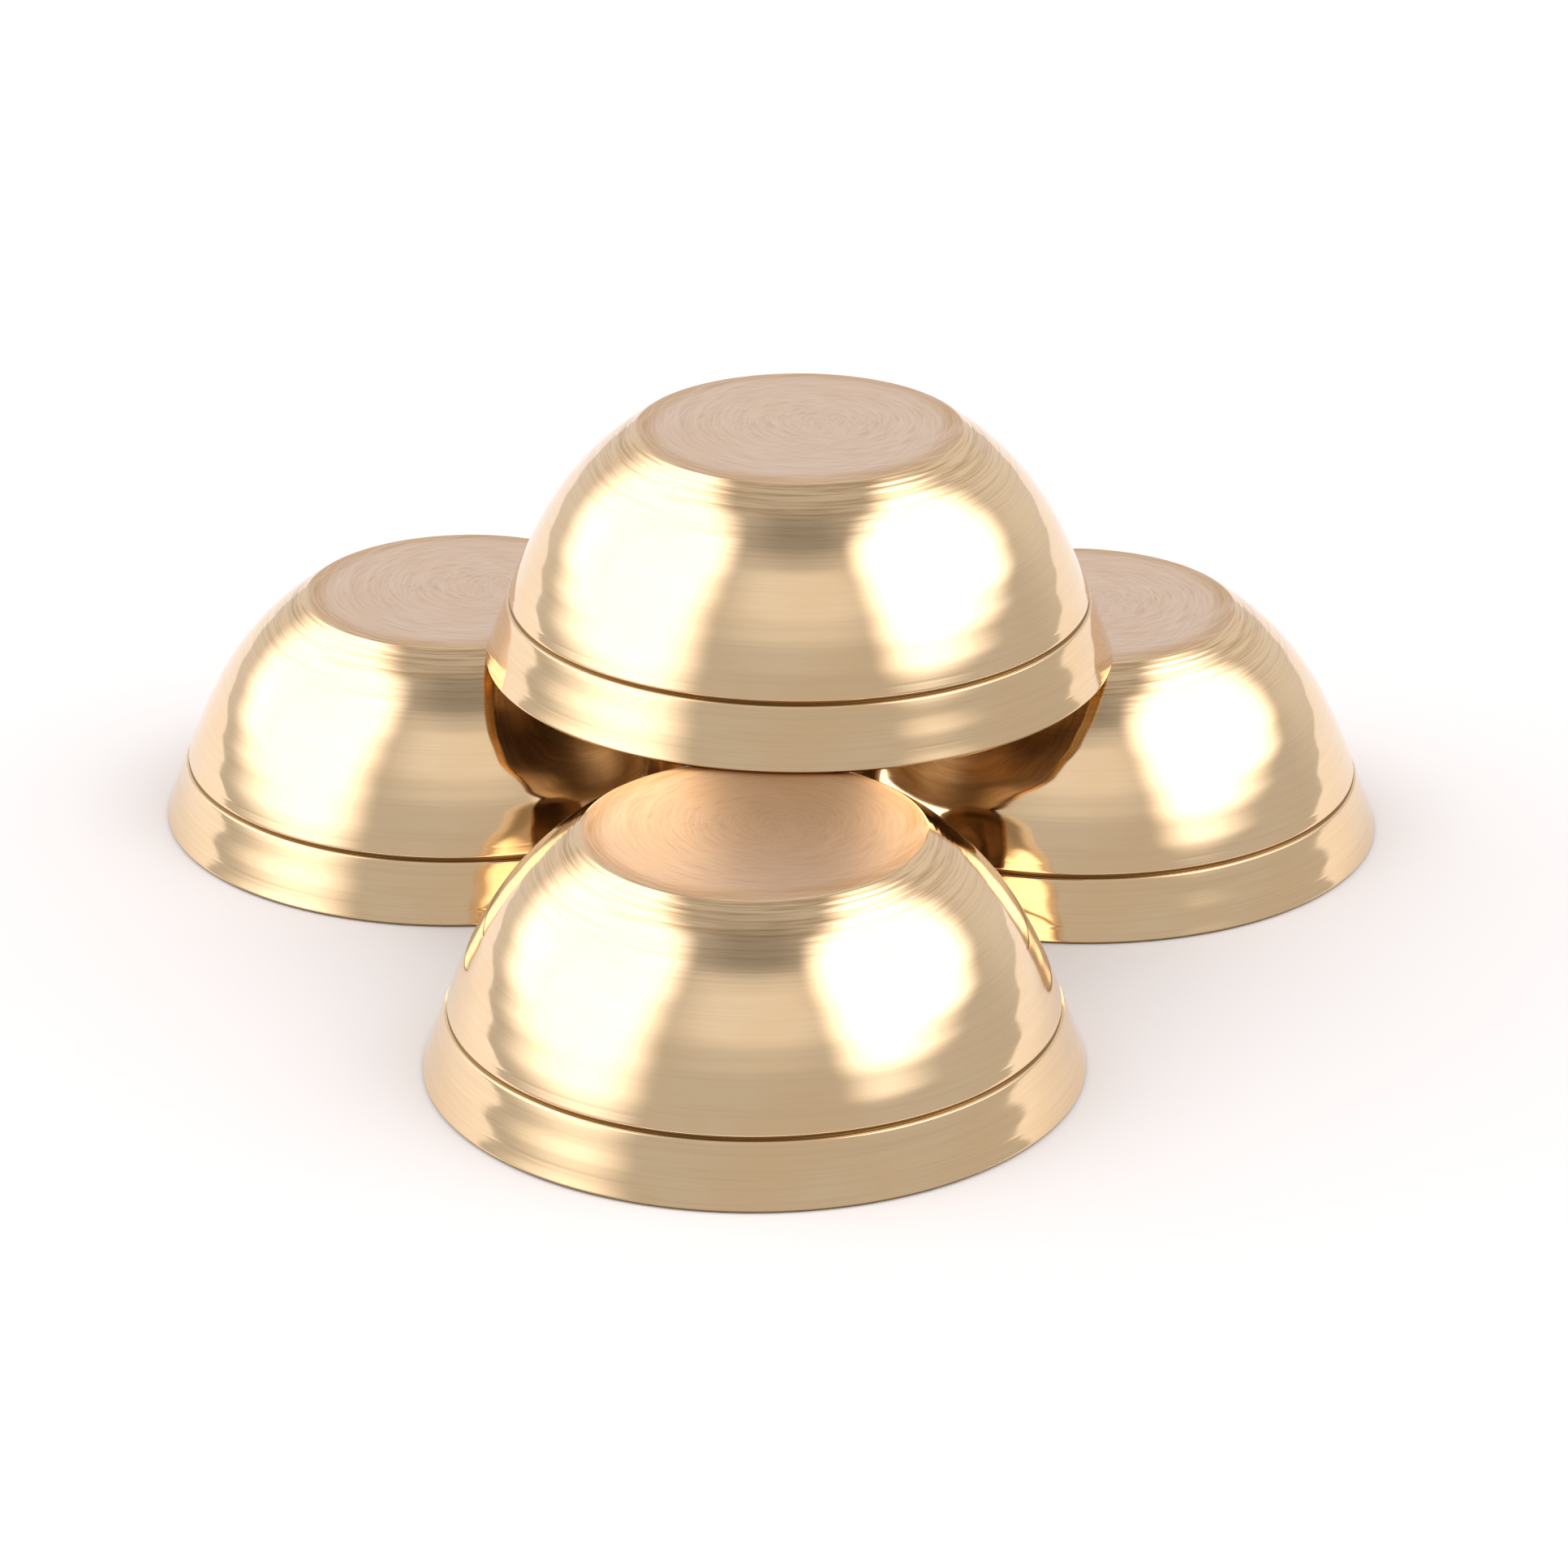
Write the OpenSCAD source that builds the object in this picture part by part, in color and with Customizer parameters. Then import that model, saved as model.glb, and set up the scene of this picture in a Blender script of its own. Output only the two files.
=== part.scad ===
// Four small turned brass cymbals, each a shallow cup with a flat closed base.
// Three stand on their lips and the fourth stands on their bases.
// Millimetres, +Z up. The origin is on the surface they stand on, in the middle of the pile's box.

/* [Cymbal] */
// Diameter over the rim, at the widest ring
rim_d = 60; // [49:0.5:74]
// Height from the lip to the flat base
cymbal_h = 22.9; // [18.5:0.1:28]
// Diameter of the flat base
base_d = 30.7; // [25:0.1:38]
// Thickness of the wall, measured square to it
wall_t = 1.6; // [1:0.1:2.4]
// Thickness of the flat base
base_t = 2.4; // [1.5:0.1:3.5]
// Thickness of the lip, measured level, just above its chamfers
lip_t = 1.3; // [0.9:0.1:2]

/* [Outline] */
// Height of the scored line above the surface
band_h = 6; // [4:0.1:8]
// Lean of the straight band under the scored line, in degrees from upright
band_lean = 21; // [12:0.5:26]
// How much more upright than its chord the wall starts, at the scored line, in degrees
foot_turn = 15.8; // [12:0.1:18]
// How much flatter than its chord the wall ends, at the base, in degrees
head_turn = 21.2; // [18:0.1:24]
// Tangent length of the lower and flatter of the wall's two arcs
foot_reach = 3.4; // [2:0.1:5]

/* [Edges] */
// Depth of the scored line, a V with square sides
score_depth = 0.3; // [0.1:0.05:0.6]
// Size of the chamfers on the outer and inner edges of the lip
lip_edge = 0.25; // [0.1:0.05:0.4]

/* [Pile] */
// Gap between the rims of the left and the right cymbal
back_gap = 0.4; // [0.3:0.1:8]
// Gap between the rims of the front and the left cymbal
left_gap = 5.2; // [0.3:0.1:8]
// Gap between the rims of the front and the right cymbal
right_gap = 2.9; // [0.3:0.1:8]
// Turn of the line from the left to the right cymbal, in degrees
pair_turn = -3.7; // [-10:0.1:10]
// How far right of the middle of the other three the top cymbal stands
top_shift_x = 3.3; // [-4:0.1:4]
// How far behind the middle of the other three the top cymbal stands
top_shift_y = 4.3; // [-5:0.1:5]

/* [Hidden] */
$fn = 180;
brass = "#cdaa7d";
// How far a cut runs past what it cuts, so that no two faces of the cut coincide
over = 1;

rim_r = rim_d / 2;
base_r = base_d / 2;

// In the outline x is the radius and y the height. A lean is an angle from upright.
// upward() runs up the wall and inward() is square to it, towards the axis.
function upward(lean) = [-sin(lean), cos(lean)];
function inward(lean) = [-cos(lean), -sin(lean)];

// The wall runs from its foot, at the scored line, to its head, at the edge of the base.
wall_foot = [rim_r - (band_h - lip_edge) * tan(band_lean), band_h];
wall_head = [base_r, cymbal_h];
chord = wall_head - wall_foot;
chord_lean = atan2(-chord.x, chord.y);
foot_lean = chord_lean - foot_turn;
head_lean = chord_lean + head_turn;

// Two arcs with one tangent where they meet: the tangents at the foot and the head have the
// lengths foot_reach and head_reach, and their tips lie on that common tangent.
foot_up = upward(foot_lean);
head_up = upward(head_lean);
head_reach = (chord * chord / 2 - foot_reach * (chord * foot_up))
    / (chord * head_up + foot_reach * (1 - foot_up * head_up));
foot_tip = wall_foot + foot_reach * foot_up;
head_tip = wall_head - head_reach * head_up;
wall_join = (foot_tip * head_reach + head_tip * foot_reach) / (foot_reach + head_reach);

// Radius of the arc that leaves end square to inward(lean) and passes through wall_join
function arc_r(end, lean) = (wall_join - end) * (wall_join - end)
    / (2 * inward(lean) * (wall_join - end));
foot_r = arc_r(wall_foot, foot_lean);
head_r = arc_r(wall_head, head_lean);
foot_centre = wall_foot + foot_r * inward(foot_lean);
head_centre = wall_head + head_r * inward(head_lean);
join_lean = atan2(wall_join.y - foot_centre.y, wall_join.x - foot_centre.x);

// The hollow's straight mouth runs from the lip to a corner that lies lap inside its arcs.
lap = 0.02;
mouth_r = rim_r - lip_t;
mouth_head = wall_foot + (wall_t + lap) * inward(foot_lean);

// The centres of the three standing cymbals are the corners of a triangle with these sides.
back_side = rim_d + back_gap;
left_side = rim_d + left_gap;
right_side = rim_d + right_gap;
left_corner = acos((back_side ^ 2 + left_side ^ 2 - right_side ^ 2) / (2 * back_side * left_side));
front_turn = pair_turn - left_corner;
right_from_left = back_side * [cos(pair_turn), sin(pair_turn)];
front_from_left = left_side * [cos(front_turn), sin(front_turn)];
pile_middle = [right_from_left.x, front_from_left.y + max(0, right_from_left.y)] / 2;
left_at = -pile_middle;
right_at = left_at + right_from_left;
front_at = left_at + front_from_left;
top_at = (left_at + right_at + front_at) / 3 + [top_shift_x, top_shift_y];

// The part of a disc between two heights, on the outer side of the axis
module disc_slice(low, high, centre, r) {
    intersection() {
        translate(centre) circle(r);
        translate([0, low]) square([rim_r, high - low]);
    }
}

// All that lies inside the wall's two arcs moved in by inset, between the heights low and high.
// The upper disc lies inside the lower one and touches it at the join, so its slice starts low too.
module wall_slices(inset, low, high) {
    join = wall_join.y + inset * inward(join_lean).y;
    disc_slice(low, join, foot_centre, foot_r - inset);
    disc_slice(low, high, head_centre, head_r - inset);
}

module outside() {
    polygon([[0, 0], [rim_r - lip_edge, 0], [rim_r, lip_edge], wall_foot, [0, wall_foot.y]]);
    wall_slices(0, wall_foot.y, cymbal_h);
}

module hollow() {
    mouth_foot = [mouth_r + lip_edge + over, -over];
    polygon([[0, -over], mouth_foot, [mouth_r, lip_edge], mouth_head, [0, mouth_head.y]]);
    wall_slices(wall_t, mouth_head.y - over, cymbal_h - base_t);
}

module scored_line() {
    reach = score_depth + over;
    translate(wall_foot) rotate(band_lean)
        polygon([[-score_depth, 0], [over, -reach], [over, reach]]);
}

// One cymbal, turned in one piece
module cymbal() {
    color(brass) rotate_extrude() difference() {
        outside();
        hollow();
        scored_line();
    }
}

module front_cymbal() translate(front_at) cymbal();
module left_cymbal() translate(left_at) cymbal();
module right_cymbal() translate(right_at) cymbal();
module top_cymbal() translate([top_at.x, top_at.y, cymbal_h]) cymbal();

front_cymbal();
left_cymbal();
right_cymbal();
top_cymbal();
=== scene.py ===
import math
import bpy
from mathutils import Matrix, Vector


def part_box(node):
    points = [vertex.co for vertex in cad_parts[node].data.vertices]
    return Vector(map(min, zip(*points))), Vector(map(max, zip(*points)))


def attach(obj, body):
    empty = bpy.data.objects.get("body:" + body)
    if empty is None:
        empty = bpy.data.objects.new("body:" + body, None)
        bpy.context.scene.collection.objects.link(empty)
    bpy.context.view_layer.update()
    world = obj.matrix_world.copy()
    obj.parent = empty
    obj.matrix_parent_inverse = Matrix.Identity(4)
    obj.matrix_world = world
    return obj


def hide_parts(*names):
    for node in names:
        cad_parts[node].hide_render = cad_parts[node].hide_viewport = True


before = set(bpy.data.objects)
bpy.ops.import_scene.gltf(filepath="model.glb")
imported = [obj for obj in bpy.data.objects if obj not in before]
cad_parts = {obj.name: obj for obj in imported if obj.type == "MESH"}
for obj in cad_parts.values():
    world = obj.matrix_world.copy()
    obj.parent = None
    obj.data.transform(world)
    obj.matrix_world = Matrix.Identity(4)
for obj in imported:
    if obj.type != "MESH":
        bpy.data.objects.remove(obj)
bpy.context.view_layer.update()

mm = 0.001


def toLinear(hexColour, level=1.0):  # sRGB hex to linear, at a brightness
    channels = [int(hexColour[i:i + 2], 16) / 255 for i in (1, 3, 5)]
    linear = [c / 12.92 if c <= 0.04045 else ((c + 0.055) / 1.055) ** 2.4 for c in channels]
    return [c * level for c in linear] + [1.0]


def addNode(tree, kind, inputs=None, **settings):  # an input is a value, or a socket or node to link from
    node = tree.nodes.new(kind)
    for name, value in settings.items():
        setattr(node, name, value)
    for key, value in (inputs or {}).items():
        if isinstance(value, bpy.types.Node):
            value = next(output for output in value.outputs if output.enabled)
        if isinstance(value, bpy.types.NodeSocket):
            tree.links.new(value, node.inputs[key])
        else:
            node.inputs[key].default_value = value
    return node


cameraPlace = {
    "aim": (1.46, 33.8, 0.0),  # mm, a point on the floor in the middle of the view
    "distance": 555.0,  # mm
    "elevation": 23.3,  # degrees
    "lens": 126.1,  # mm, on a 36 mm sensor
}


def makeCamera(place):
    data = bpy.data.cameras.new("camera")
    data.lens = place["lens"]
    data.sensor_width = 36.0
    data.clip_start = 0.02
    data.clip_end = 20.0
    camera = bpy.data.objects.new("camera", data)
    bpy.context.scene.collection.objects.link(camera)
    lift = math.radians(place["elevation"])
    back = Vector((0.0, -math.cos(lift), math.sin(lift)))
    camera.location = Vector(place["aim"]) * mm + back * place["distance"] * mm
    camera.rotation_euler = (-back).to_track_quat("-Z", "Y").to_euler()
    bpy.context.scene.camera = camera


makeCamera(cameraPlace)
print("camera placed")


cup = {
    "rimRadius": 30.0, "height": 22.9, "baseRadius": 15.35,  # mm, as all that follows but the leans
    "wall": 1.6, "baseThick": 2.4, "lipThick": 1.3,
    "bandHeight": 6.0, "bandLean": 21.0,  # the straight band under the scored line
    "footTurn": 15.8, "headTurn": 21.2, "footReach": 3.4,  # the two arcs of the wall
    "scoreDepth": 0.3, "lipEdge": 0.25,
    "borderWidth": 1.9, "borderLean": 11.0,  # the outer ring of the base, polished over so it leans outwards
    "edgeRound": 0.6,  # softening of the edge between the base and the wall
    "scoreRound": 0.10, "scoreBottom": 0.04, "lipRound": 0.06, "insideRound": 1.5,
    # slight rings from the turning tool: length, shift, depth next to the base, depth all over
    "waves": [(0.62, 0.0, 0.005, 0.0), (1.07, 1.9, 0.004, 0.0003), (3.1, 0.7, 0.0, 0.006)],
    "waveFade": 1.4,  # how far below the base the strong rings die away
    "bandEase": 0.8,  # how far below the scored line the band's own waves start
    "hairLines": [(1.5, 0.003), (7.0, 0.003)],  # height of a fine stray tool line, and its depth
    "step": 0.12, "coarseStep": 0.8,  # length of one row of faces, on the wall and where it hardly shows
    "leastGap": 0.004,  # points of the outline that are closer than this are one
    "edgeRows": 6, "insideRows": 8,  # rows of faces round the edge of the base, and round the inner corner
    "turns": 288,  # faces round the cup
}
zones = ["base", "wall", "score", "band", "lip", "inside"]


def up(lean):  # along the wall, for a lean in degrees from upright
    return Vector((-math.sin(math.radians(lean)), math.cos(math.radians(lean))))


def inward(lean):  # square to the wall, into the cup
    return Vector((-math.cos(math.radians(lean)), -math.sin(math.radians(lean))))


def wallArcs(c):  # the two arcs of the wall, as in the CAD outline: ends, leans, radii and centres
    foot = Vector((c["rimRadius"] - (c["bandHeight"] - c["lipEdge"]) * math.tan(math.radians(c["bandLean"])),
                   c["bandHeight"]))
    head = Vector((c["baseRadius"], c["height"]))
    chord = head - foot
    chordLean = math.degrees(math.atan2(-chord.x, chord.y))
    footLean = chordLean - c["footTurn"]
    headLean = chordLean + c["headTurn"]
    footReach = c["footReach"]
    headReach = ((chord.dot(chord) / 2 - footReach * chord.dot(up(footLean)))
                 / (chord.dot(up(headLean)) + footReach * (1 - up(footLean).dot(up(headLean)))))
    footTip = foot + footReach * up(footLean)
    headTip = head - headReach * up(headLean)
    join = (footTip * headReach + headTip * footReach) / (footReach + headReach)
    arcs = {}
    for name, end, lean in (("foot", foot, footLean), ("head", head, headLean)):
        gap = join - end
        radius = gap.dot(gap) / (2 * inward(lean).dot(gap))
        arcs[name] = {"end": end, "lean": lean, "radius": radius, "centre": end + radius * inward(lean)}
    arcs["joinLean"] = leanOf(join, arcs["foot"]["centre"])
    return arcs


def leanOf(point, centre):  # the wall's lean at a point of an arc
    spoke = point - centre
    return math.degrees(math.atan2(spoke.y, spoke.x))


def arcPoints(centre, radius, leanFrom, leanTo, step):
    count = max(2, round(abs(radius * math.radians(leanTo - leanFrom)) / step))
    leans = [leanFrom + (leanTo - leanFrom) * i / count for i in range(count + 1)]
    return [centre - radius * inward(lean) for lean in leans]


def linePoints(start, end, step):
    count = max(1, round((end - start).length / step))
    return [start.lerp(end, i / count) for i in range(count + 1)]


def roundedCorner(before, corner, after, radius, count=4):  # an arc tangent to both sides of a corner
    a = (before - corner).normalized()
    b = (after - corner).normalized()
    half = a.angle(b) / 2
    centre = corner + (a + b).normalized() * radius / math.sin(half)
    start = corner + a * radius / math.tan(half) - centre
    end = corner + b * radius / math.tan(half) - centre
    return [centre + start.slerp(end, i / count).normalized() * radius for i in range(count + 1)]


def turningWaves(rows, c):  # moves the wall in and out by the tool's rings
    lifted = []
    run = 0.0
    for i, (point, zone) in enumerate(rows):
        run += (point - rows[i - 1][0]).length if i else 0.0
        if zone in ("wall", "band"):
            along = (rows[i + 1][0] - rows[i - 1][0]).normalized()
            out = Vector((-along.y, along.x))
            fade = math.exp(-(c["height"] - point.y) / c["waveFade"])
            depth = sum((high * fade + low) * math.sin(2 * math.pi * run / length + shift)
                        for length, shift, high, low in c["waves"])
            if zone == "band":
                depth *= min(1.0, (c["bandHeight"] - point.y) / c["bandEase"])
            depth -= sum(deep for high, deep in c["hairLines"] if abs(point.y - high) < c["step"] / 2)
            point = point + out * depth
        lifted.append((point, zone))
    return lifted


def cupOutline(c):  # points in mm and their zones, from the middle of the base, round the lip, to the inside
    arcs = wallArcs(c)
    foot, head, joinLean = arcs["foot"], arcs["head"], arcs["joinLean"]
    rows = []

    def put(points, zone):
        for p in points:
            if not rows or (p - rows[-1][0]).length > c["leastGap"]:
                rows.append((p, zone))

    step, coarse, top = c["step"], c["coarseStep"], c["height"]
    borderSlope = math.tan(math.radians(c["borderLean"]))
    drop = c["borderWidth"] * borderSlope / 2  # an even bend falls half as far as its end's slope
    brink = head["centre"] - head["radius"] * inward(head["lean"] - math.degrees(drop / head["radius"]))
    flat = Vector((brink.x - c["borderWidth"], top))
    edge = roundedCorner(brink + Vector((-1, borderSlope)), brink, brink - up(head["lean"]),
                         c["edgeRound"], c["edgeRows"])
    put(linePoints(Vector((0, top)), flat, coarse), "base")
    put([Vector((p.x, top + (edge[0].y - top) * ((p.x - flat.x) / (edge[0].x - flat.x)) ** 2))
         for p in linePoints(flat, Vector((edge[0].x, top)), 2 * step)], "base")
    put(edge, "wall")
    put(arcPoints(head["centre"], head["radius"], leanOf(edge[-1], head["centre"]), joinLean, step), "wall")
    scoreHalf = math.degrees((c["scoreDepth"] + 2 * c["scoreRound"]) / foot["radius"])
    put(arcPoints(foot["centre"], foot["radius"], joinLean, foot["lean"] + scoreHalf, step), "wall")

    score = foot["end"]
    upperEdge = score + up(c["bandLean"]) * c["scoreDepth"]
    lowerEdge = score - up(c["bandLean"]) * c["scoreDepth"]
    bottom = score + inward(c["bandLean"]) * c["scoreDepth"]
    rim = Vector((c["rimRadius"], c["lipEdge"]))
    put(roundedCorner(rows[-1][0], upperEdge, bottom, c["scoreRound"]), "wall")
    put(roundedCorner(upperEdge, bottom, lowerEdge, c["scoreBottom"]), "score")
    put([bottom.lerp(lowerEdge, 0.5)], "score")
    put(roundedCorner(bottom, lowerEdge, rim, c["scoreRound"]), "band")

    chamfer = Vector((c["rimRadius"] - c["lipEdge"], 0))
    mouth = c["rimRadius"] - c["lipThick"]
    innerChamfer = Vector((mouth + c["lipEdge"], 0))
    innerRim = Vector((mouth, c["lipEdge"]))
    innerFoot = foot["end"] + c["wall"] * inward(foot["lean"])
    lipOuter = roundedCorner(lowerEdge, rim, chamfer, c["lipRound"])
    put(linePoints(rows[-1][0], lipOuter[0], step), "band")
    put(lipOuter, "lip")
    put(roundedCorner(rim, chamfer, innerChamfer, c["lipRound"]), "lip")
    put(roundedCorner(chamfer, innerChamfer, innerRim, c["lipRound"]), "lip")
    put(roundedCorner(innerChamfer, innerRim, innerFoot, c["lipRound"]), "lip")

    put(linePoints(rows[-1][0], innerFoot, coarse), "inside")
    put(arcPoints(foot["centre"], foot["radius"] - c["wall"], foot["lean"], joinLean, coarse), "inside")
    ceiling = top - c["baseThick"]
    innerRadius = head["radius"] - c["wall"]
    endLean = math.degrees(math.asin((ceiling - head["centre"].y) / innerRadius))
    corner = head["centre"] - innerRadius * inward(endLean)
    soft = roundedCorner(corner - up(endLean), corner, Vector((0, ceiling)), c["insideRound"],
                         c["insideRows"])
    softLean = endLean - math.degrees((soft[0] - corner).length / innerRadius)
    put(arcPoints(head["centre"], innerRadius, joinLean, softLean, coarse), "inside")
    put(soft, "inside")
    put(linePoints(soft[-1], Vector((0, ceiling)), coarse), "inside")
    return turningWaves(rows, c)


def turnedMesh(name, rows, turns):  # spins the outline round Z; "ring" is how far along it a point is, in mm
    verts, rings, loops, faces, faceZones = [], [], [], [], []
    run = 0.0
    for k, (point, zone) in enumerate(rows):
        run += (point - rows[k - 1][0]).length if k else 0.0
        count = 1 if point.x < cup["leastGap"] else turns  # on the axis there is only one point
        loops.append([len(verts) + j % count for j in range(turns + 1)])
        for j in range(count):
            angle = 2 * math.pi * j / turns
            verts.append((point.x * mm * math.cos(angle), point.x * mm * math.sin(angle), point.y * mm))
            rings.append(run)
    for k, (here, after) in enumerate(zip(loops, loops[1:])):
        for j in range(turns):
            corners = dict.fromkeys((here[j], after[j], after[j + 1], here[j + 1]))  # three on the axis
            faces.append(list(corners))
            faceZones.append(zones.index(rows[k + 1][1]))
    mesh = bpy.data.meshes.new(name)
    mesh.from_pydata(verts, [], faces)
    mesh.polygons.foreach_set("material_index", faceZones)
    mesh.polygons.foreach_set("use_smooth", [True] * len(faces))
    mesh.attributes.new("ring", "FLOAT", "POINT").data.foreach_set("value", rings)
    mesh.update()
    return mesh


def makeCup(name, node, body, materials):
    low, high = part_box(node)
    c = dict(cup, rimRadius=(high.x - low.x) / 2 / mm, height=(high.z - low.z) / mm)
    mesh = turnedMesh(name, cupOutline(c), c["turns"])
    for zone in zones:
        mesh.materials.append(materials[zone])
    piece = bpy.data.objects.new(name, mesh)
    piece.location = ((low.x + high.x) / 2, (low.y + high.y) / 2, low.z)
    bpy.context.scene.collection.objects.link(piece)
    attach(piece, body)
    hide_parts(node)


# Every finish is cast brass, worked on a lathe. "lines" is the spacing of the tool lines in mm, several
# times coarser than real ones so that they show; "lineDepth" is in mm, "lineColour" the tone in their
# bottoms. "mottle" is the size in mm of the faint warm patches of handling, "fade" the share of the lines
# that is left low on the wall.
finishes = {
    # faced flat, then buffed with a small wheel: a pale satin disc with faint swirls, golden at its rim
    "base": {"name": "facedBrass", "colour": "#ecd4c0", "lineColour": "#dbc0a9", "warmColour": "#eccdb3",
             "borderColour": "#d2ab7c", "rough": 0.34, "brushed": 0.0, "lines": 0.22, "lineDepth": 0.003,
             "mottle": 6.0, "fade": 1.0, "swirls": [((-3.6, -0.8), 0.32), ((3.0, 1.6), 0.36)]},
    # turned and polished: long clear reflections, broken by fine rings next to the base
    "wall": {"name": "polishedBrass", "colour": "#f1d6b0", "lineColour": "#cca980", "warmColour": "#f1cfa4",
             "rough": 0.07, "brushed": 0.3, "lines": 0.26, "lineDepth": 0.003, "mottle": 9.0, "fade": 0.12},
    # polished by hand round the lip: a little duller than the wall
    "band": {"name": "polishedBand", "colour": "#f0d5ae", "lineColour": "#cba87e", "warmColour": "#f0cea3",
             "rough": 0.085, "brushed": 0.3, "lines": 0.26, "lineDepth": 0.003, "mottle": 9.0, "fade": 0.2},
    # cut with a pointed tool: a thin brown line, painted shade for the shadow down in the groove
    "score": {"name": "scoredBrass", "colour": "#9a7c52", "lineColour": "#866844", "warmColour": "#9a764c",
              "rough": 0.34, "brushed": 0.0, "lines": 0.2, "lineDepth": 0.002, "mottle": 4.0, "fade": 1.0},
    # chamfered where cups meet: a thin darker edge, painted shade for the dark gap under the lip
    "lip": {"name": "lipBrass", "colour": "#b0905f", "lineColour": "#9a7749", "warmColour": "#b08b58",
            "rough": 0.24, "brushed": 0.0, "lines": 0.2, "lineDepth": 0.002, "mottle": 5.0, "fade": 1.0},
    # turned roughly and not polished: a dull golden inside with plain grooves
    "inside": {"name": "roughTurnedBrass", "colour": "#efd4ae", "lineColour": "#d2b088",
               "warmColour": "#efcda2", "rough": 0.33, "brushed": 0.3, "lines": 0.6, "lineDepth": 0.014,
               "mottle": 7.0, "fade": 1.0},
}
toolMarks = {
    "heights": (17.0, 22.0),  # mm above the lip, where the wall's lines grow from faint to full
    "stretch": 1.6, "detail": 3.0,  # how often a line breaks on its way round, and how fine its edges are
    "broadLines": 6, "broadStretch": 1.1, "broadDetail": 2.0,  # wider rings, by how many lines each spans
    "swirlStretch": 2.2, "swirlDetail": 2.0, "swirlShare": 0.5,
    "raggedness": 0.65,
    "groove": (0.36, 0.56),  # the part of the noise that goes from a line's bottom to clean metal
    "grooveRough": 0.08, "broadRough": 0.04, "broadRelief": 0.5,
    "patch": (0.45, 0.75),  # the part of the noise that is a warm patch
}
border = {
    "from": 12.9, "width": 1.8,  # mm from the middle of the base
    "worn": (0.36, 0.60), "least": 0.35,  # it is golden in the lines, and less so between them
}


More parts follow.
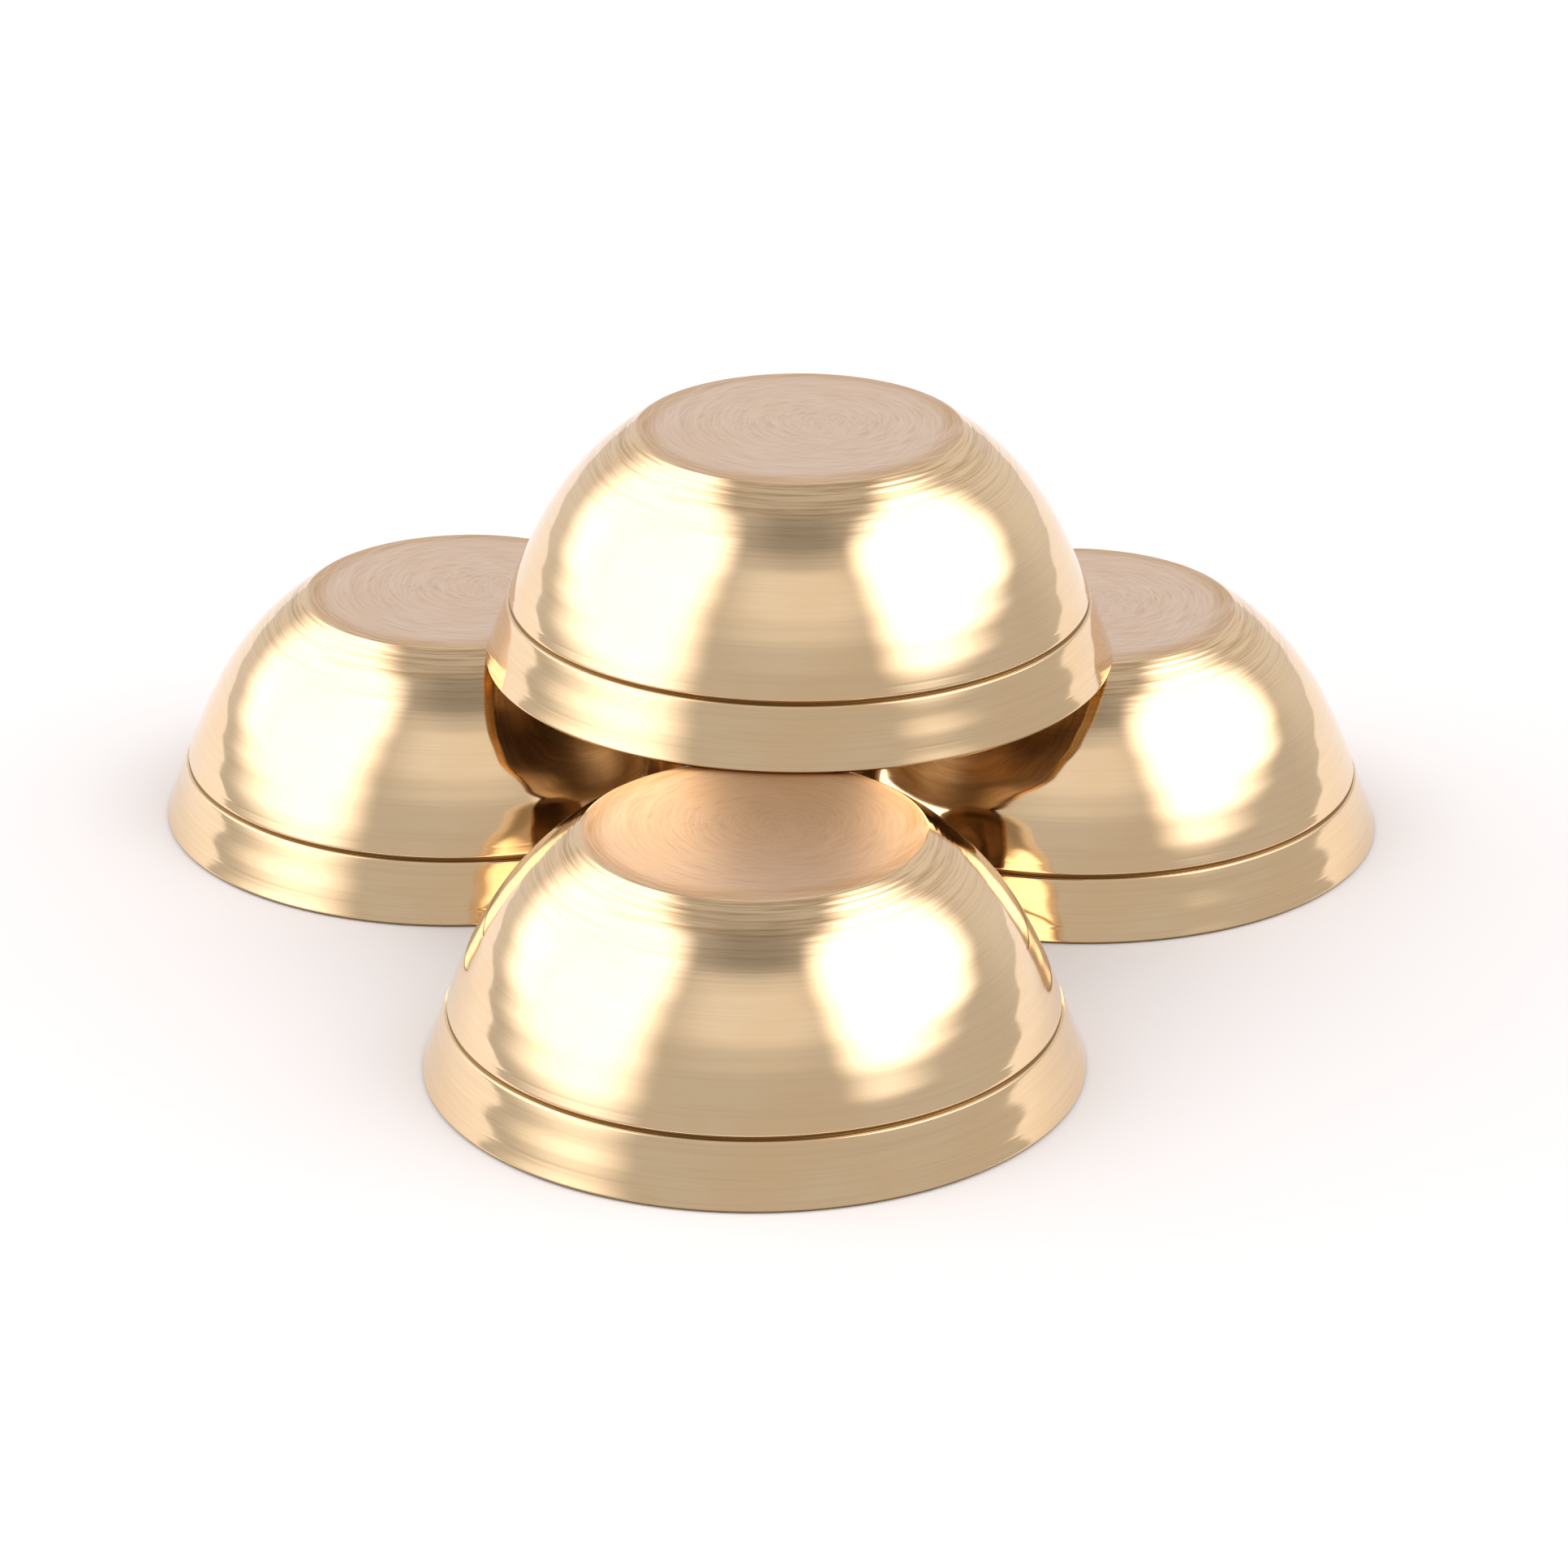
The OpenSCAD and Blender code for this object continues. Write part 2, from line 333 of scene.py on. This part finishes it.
def turnedBrass(f, marks):
    material = bpy.data.materials.new(f["name"])
    material.use_nodes = True
    tree = material.node_tree
    tree.nodes.clear()
    place = addNode(tree, "ShaderNodeTexCoord").outputs["Object"]
    apart = addNode(tree, "ShaderNodeSeparateXYZ", {0: place})
    level = addNode(tree, "ShaderNodeCombineXYZ", {0: apart.outputs[0], 1: apart.outputs[1]})
    ring = addNode(tree, "ShaderNodeAttribute", attribute_name="ring").outputs["Fac"]

    def ringLines(around, along, spacing, stretch, detail):  # noise: short along the outline, long round it
        turned = addNode(tree, "ShaderNodeVectorMath", {0: around, "Scale": stretch}, operation="SCALE")
        rise = addNode(tree, "ShaderNodeMath", {0: along, 1: spacing}, operation="DIVIDE")
        lift = addNode(tree, "ShaderNodeCombineXYZ", {2: rise})
        spot = addNode(tree, "ShaderNodeVectorMath", {0: turned, 1: lift}, operation="ADD")
        return addNode(tree, "ShaderNodeTexNoise", {
            "Vector": spot, "Scale": 1.0, "Detail": detail, "Roughness": marks["raggedness"]})

    spoke = addNode(tree, "ShaderNodeVectorMath", {0: level}, operation="NORMALIZE")
    lines = ringLines(spoke, ring, f["lines"], marks["stretch"], marks["detail"])
    broad = ringLines(spoke, ring, f["lines"] * marks["broadLines"], marks["broadStretch"],
                      marks["broadDetail"])
    for middle, spacing in f.get("swirls", []):  # rings round points off the middle
        offset = [middle[0] * mm, middle[1] * mm, 0.0]
        aside = addNode(tree, "ShaderNodeVectorMath", {0: level, 1: offset}, operation="SUBTRACT")
        reach = addNode(tree, "ShaderNodeVectorMath", {0: aside}, operation="LENGTH")
        around = addNode(tree, "ShaderNodeVectorMath", {0: aside}, operation="NORMALIZE")
        swirl = ringLines(around, reach, spacing * mm, marks["swirlStretch"], marks["swirlDetail"])
        lines = addNode(tree, "ShaderNodeMix", {0: marks["swirlShare"], 2: lines, 3: swirl},
                        data_type="FLOAT")

    # fine lines are deepest next to the base, and polished away lower down
    low, high = marks["heights"]
    keep = addNode(tree, "ShaderNodeMapRange", {
        "Value": apart.outputs[2], 1: low * mm, 2: high * mm, 3: f["fade"], 4: 1.0})
    bottom, clean = marks["groove"]
    sharp = addNode(tree, "ShaderNodeMapRange", {"Value": lines, 1: clean, 2: bottom})
    amount = addNode(tree, "ShaderNodeMath", {0: sharp, 1: keep}, operation="MULTIPLY")
    tone = addNode(tree, "ShaderNodeMix", {
        0: amount, 6: toLinear(f["colour"]), 7: toLinear(f["lineColour"])}, data_type="RGBA")
    if "borderColour" in f:
        edge = addNode(tree, "ShaderNodeMapRange", {
            "Value": ring, 1: border["from"], 2: border["from"] + border["width"]},
            interpolation_type="SMOOTHSTEP")
        worn = addNode(tree, "ShaderNodeMapRange", {
            "Value": lines, 1: border["worn"][0], 2: border["worn"][1], 3: 1.0, 4: border["least"]})
        amount = addNode(tree, "ShaderNodeMath", {0: edge, 1: worn}, operation="MULTIPLY")
        tone = addNode(tree, "ShaderNodeMix", {0: amount, 6: tone, 7: toLinear(f["borderColour"])},
                       data_type="RGBA")
    mottle = addNode(tree, "ShaderNodeTexNoise", {
        "Vector": place, "Scale": 1 / (f["mottle"] * mm), "Detail": 4.0})
    patch = addNode(tree, "ShaderNodeMapRange", {
        "Value": mottle, 1: marks["patch"][0], 2: marks["patch"][1]})
    tone = addNode(tree, "ShaderNodeMix", {0: patch, 6: tone, 7: toLinear(f["warmColour"])},
                   data_type="RGBA", blend_type="DARKEN")

    # the bottoms of lines are rougher, and the polish varies a little in broad rings
    lineRough = addNode(tree, "ShaderNodeMapRange", {
        "Value": lines, 3: marks["grooveRough"], 4: -marks["grooveRough"]})
    broadRough = addNode(tree, "ShaderNodeMapRange", {
        "Value": broad, 3: f["rough"] - marks["broadRough"], 4: f["rough"] + marks["broadRough"]})
    rough = addNode(tree, "ShaderNodeMath", {0: lineRough, 1: keep, 2: broadRough}, operation="MULTIPLY_ADD",
                    use_clamp=True)
    relief = addNode(tree, "ShaderNodeMath", {0: broad, 1: marks["broadRelief"], 2: lines},
                     operation="MULTIPLY_ADD")
    height = addNode(tree, "ShaderNodeMath", {0: relief, 1: keep}, operation="MULTIPLY")
    bump = addNode(tree, "ShaderNodeBump", {
        "Strength": 1.0, "Distance": f["lineDepth"] * mm, "Height": height})
    tangent = addNode(tree, "ShaderNodeTangent", direction_type="RADIAL", axis="Z")
    shader = addNode(tree, "ShaderNodeBsdfPrincipled", {
        "Base Color": tone, "Metallic": 1.0, "Roughness": rough, "Normal": bump, "Tangent": tangent,
        "Anisotropic": f["brushed"]})
    addNode(tree, "ShaderNodeOutputMaterial", {0: shader})
    return material


brass = {zone: turnedBrass(finish, toolMarks) for zone, finish in finishes.items()}
print("materials made")

cymbals = {  # piece: the CAD node it stands for, and the body it rides on
    "frontCymbal": ("front_cymbal", "front"),
    "leftCymbal": ("left_cymbal", "left"),
    "rightCymbal": ("right_cymbal", "right"),
    "topCymbal": ("top_cymbal", "top"),
}
for name, (node, body) in cymbals.items():
    makeCup(name, node, body, brass)
print("cymbals made")


floorCard = {
    "size": 8.0,  # m
    "colour": "#e6e6ea",
    "rough": 0.7,
}


def makeFloor(f):
    mesh = bpy.data.meshes.new("floor")
    half = f["size"] / 2
    corners = [(-half, -half, 0), (half, -half, 0), (half, half, 0), (-half, half, 0)]
    mesh.from_pydata(corners, [], [(0, 1, 2, 3)])
    floor = bpy.data.objects.new("floor", mesh)
    bpy.context.scene.collection.objects.link(floor)
    material = bpy.data.materials.new("whiteCard")
    material.use_nodes = True
    shader = material.node_tree.nodes["Principled BSDF"]
    shader.inputs["Base Color"].default_value = toLinear(f["colour"])
    shader.inputs["Roughness"].default_value = f["rough"]
    mesh.materials.append(material)


makeFloor(floorCard)

# The light is a white tent with soft boxes to the left and the right. Directions are in degrees, to the
# right of the camera's side and above the horizon. "soft" is how wide a box's edge fades.
studio = {
    "colour": "#fffaf6",
    "backdrop": 1.0,  # brightness that the camera sees behind the object
    "tent": 0.6,
    "boxes": [
        {"middle": (180, 30), "size": (120, 70), "level": 0.8, "soft": 20},  # white card behind
        {"middle": (0, 45), "size": (70, 30), "level": 0.9, "soft": 15},  # fill from the front
        {"middle": (0, 69), "size": (90, 20), "level": 0.35, "soft": 15},  # dim gap overhead
        {"middle": (-92, 36), "size": (90, 56), "level": 2.5, "soft": 14},  # left soft box
        {"middle": (78, 41), "size": (80, 46), "level": 3.0, "soft": 12},  # right soft box
    ],
}


def makeStudioLight(s):
    world = bpy.data.worlds.new("studio")
    bpy.context.scene.world = world
    world.use_nodes = True
    tree = world.node_tree
    tree.nodes.clear()
    direction = addNode(tree, "ShaderNodeTexCoord").outputs["Generated"]
    apart = addNode(tree, "ShaderNodeSeparateXYZ", {0: direction})
    front = addNode(tree, "ShaderNodeMath", {0: apart.outputs[1], 1: -1.0}, operation="MULTIPLY")
    turn = addNode(tree, "ShaderNodeMath", {0: apart.outputs[0], 1: front}, operation="ARCTAN2")
    rise = addNode(tree, "ShaderNodeMath", {0: apart.outputs[2]}, operation="ARCSINE")
    both = addNode(tree, "ShaderNodeCombineXYZ", {0: turn, 1: rise})
    degrees = addNode(tree, "ShaderNodeVectorMath", {0: both, "Scale": 180 / math.pi}, operation="SCALE")
    light = toLinear(s["colour"], s["tent"])
    for box in s["boxes"]:
        middle = [*box["middle"], 0.0]
        half = [box["size"][0] / 2, box["size"][1] / 2, 1.0]
        offset = addNode(tree, "ShaderNodeVectorMath", {0: degrees, 1: middle}, operation="SUBTRACT")
        near = addNode(tree, "ShaderNodeVectorMath", {0: offset, 1: (180, 180, 180), 2: (-180, -180, -180)},
                       operation="WRAP")
        share = addNode(tree, "ShaderNodeVectorMath", {0: near, 1: half}, operation="DIVIDE")
        square = addNode(tree, "ShaderNodeVectorMath", {0: share, 1: share}, operation="MULTIPLY")
        fourth = addNode(tree, "ShaderNodeVectorMath", {0: square, 1: square}, operation="DOT_PRODUCT")
        # reach is 1 all along the edge of the box, which is an oblong with round corners
        reach = addNode(tree, "ShaderNodeMath", {0: fourth, 1: 1 / 4}, operation="POWER")
        fade = box["soft"] / min(box["size"])
        inside = addNode(tree, "ShaderNodeMapRange", {"Value": reach, 1: 1 + fade, 2: 1 - fade},
                         interpolation_type="SMOOTHSTEP")
        light = addNode(tree, "ShaderNodeMix", {0: inside, 6: light, 7: toLinear(s["colour"], box["level"])},
                        data_type="RGBA")
    seen = addNode(tree, "ShaderNodeLightPath").outputs["Is Camera Ray"]
    light = addNode(tree, "ShaderNodeMix", {0: seen, 6: light, 7: toLinear("#ffffff", s["backdrop"])},
                    data_type="RGBA")
    background = addNode(tree, "ShaderNodeBackground", {"Color": light, "Strength": 1.0})
    addNode(tree, "ShaderNodeOutputWorld", {0: background})


makeStudioLight(studio)
bpy.context.scene.view_settings.view_transform = "Standard"
print("studio made")
